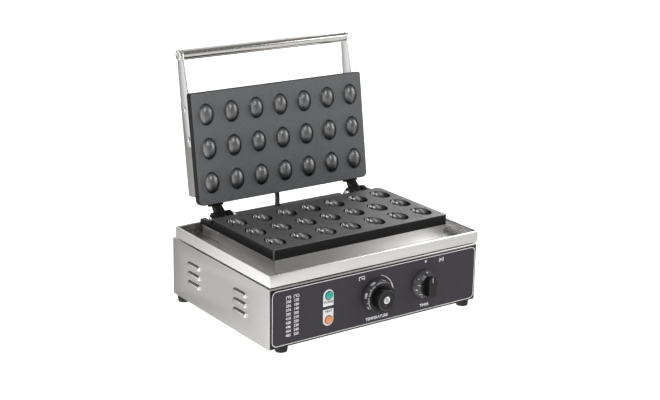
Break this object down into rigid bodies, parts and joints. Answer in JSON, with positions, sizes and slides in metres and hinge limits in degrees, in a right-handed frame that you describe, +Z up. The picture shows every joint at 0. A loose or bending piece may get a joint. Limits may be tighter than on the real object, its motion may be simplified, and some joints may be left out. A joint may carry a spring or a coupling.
{
  "type": "walnut cookie maker",
  "caption": "Countertop electric mould iron for walnut-shaped cookies: sheet-steel base with two dials and a drip tray, a cavity plate below and a hinged dome plate with a bar handle above.",
  "frame": {"origin": "on the floor under the middle of the bounding box, with the lid open", "axes": "+Z up, -Y towards the control panel (the user), +X to the user's right"},
  "size_m": [0.408, 0.3834, 0.4032],
  "materials": {
    "stainless_sheet": "fine brushed stainless sheet",
    "coated_casting": "dark non-stick coating on cast aluminium, satin",
    "bright_steel": "polished",
    "plated_steel": "zinc-plated steel",
    "dark_steel": "blackened steel",
    "fascia": "dark printed panel with a fine satin grain",
    "label": "matt white",
    "green_lens": "clear tinted plastic",
    "amber_lens": "clear tinted plastic",
    "black_plastic": "semi-gloss moulded plastic",
    "rubber": "matt black rubber",
    "mineral_wool": "fibrous mat",
    "ceramic": "matt white ceramic",
    "lead_sleeve": "dark flexible sleeve"
  },
  "bodies": {
    "base": {"base_shell": "stainless_sheet", "bottom_plate": "plated_steel", "foot_front_left": "rubber", "foot_screw_front_left": "plated_steel", "foot_front_right": "rubber", "foot_screw_front_right": "plated_steel", "foot_rear_left": "rubber", "foot_screw_rear_left": "plated_steel", "foot_rear_right": "rubber", "foot_screw_rear_right": "plated_steel", "front_fascia": "fascia", "lamp_label": "label", "heat_lamp_body": "black_plastic", "heat_lamp_lens": "amber_lens", "power_lamp_body": "black_plastic", "power_lamp_lens": "green_lens", "thermostat_body": "ceramic", "thermostat_nut": "plated_steel", "timer_body": "ceramic", "timer_nut": "plated_steel", "drip_tray": "stainless_sheet", "heater_housing": "stainless_sheet", "rear_support": "stainless_sheet", "lower_plate": "coated_casting", "tie_bolt_front_left": "plated_steel", "tie_bolt_front_right": "plated_steel", "tie_bolt_rear_left": "plated_steel", "tie_bolt_rear_right": "plated_steel", "lower_heater": "plated_steel", "heater_clamp": "plated_steel", "lower_insulation": "mineral_wool", "thermostat_sensor": "bright_steel", "hinge_bolt_left": "dark_steel", "hinge_nut_left": "plated_steel", "hinge_bolt_right": "dark_steel", "hinge_nut_right": "plated_steel", "lead_gland_base": "plated_steel", "lid_lead": "lead_sleeve", "cable_gland": "black_plastic", "terminal_block": "ceramic"},
    "temperature_dial": {"temperature_shaft": "bright_steel", "temperature_knob": "black_plastic", "temperature_knob_cap": "bright_steel"},
    "timer_dial": {"timer_shaft": "bright_steel", "timer_knob": "black_plastic"},
    "lid": {"upper_plate": "coated_casting", "lid_cover": "stainless_sheet", "upper_heater": "plated_steel", "lid_insulation": "mineral_wool", "arm_left": "stainless_sheet", "arm_screw_left_front": "plated_steel", "arm_screw_left_rear": "plated_steel", "handle_screw_left": "bright_steel", "arm_right": "stainless_sheet", "arm_screw_right_front": "plated_steel", "arm_screw_right_rear": "plated_steel", "handle_screw_right": "bright_steel", "handle_bar": "bright_steel", "lead_gland_lid": "plated_steel"}
  },
  "joints": [
    {"name": "lid_hinge", "type": "hinge", "parent": "base", "child": "lid", "pos_m": [0.007, 0.09093, 0.1385], "axis": [1, 0, 0], "range_deg": [0, 98.6], "deforming": ["lid_lead"]},
    {"name": "temperature_turn", "type": "hinge", "parent": "base", "child": "temperature_dial", "pos_m": [-0.0023, -0.16147, 0.0605], "axis": [0, 1, 0], "range_deg": [0, 290]},
    {"name": "timer_turn", "type": "hinge", "parent": "base", "child": "timer_dial", "pos_m": [0.0915, -0.16147, 0.0605], "axis": [0, 1, 0], "range_deg": [0, 300]}
  ]
}
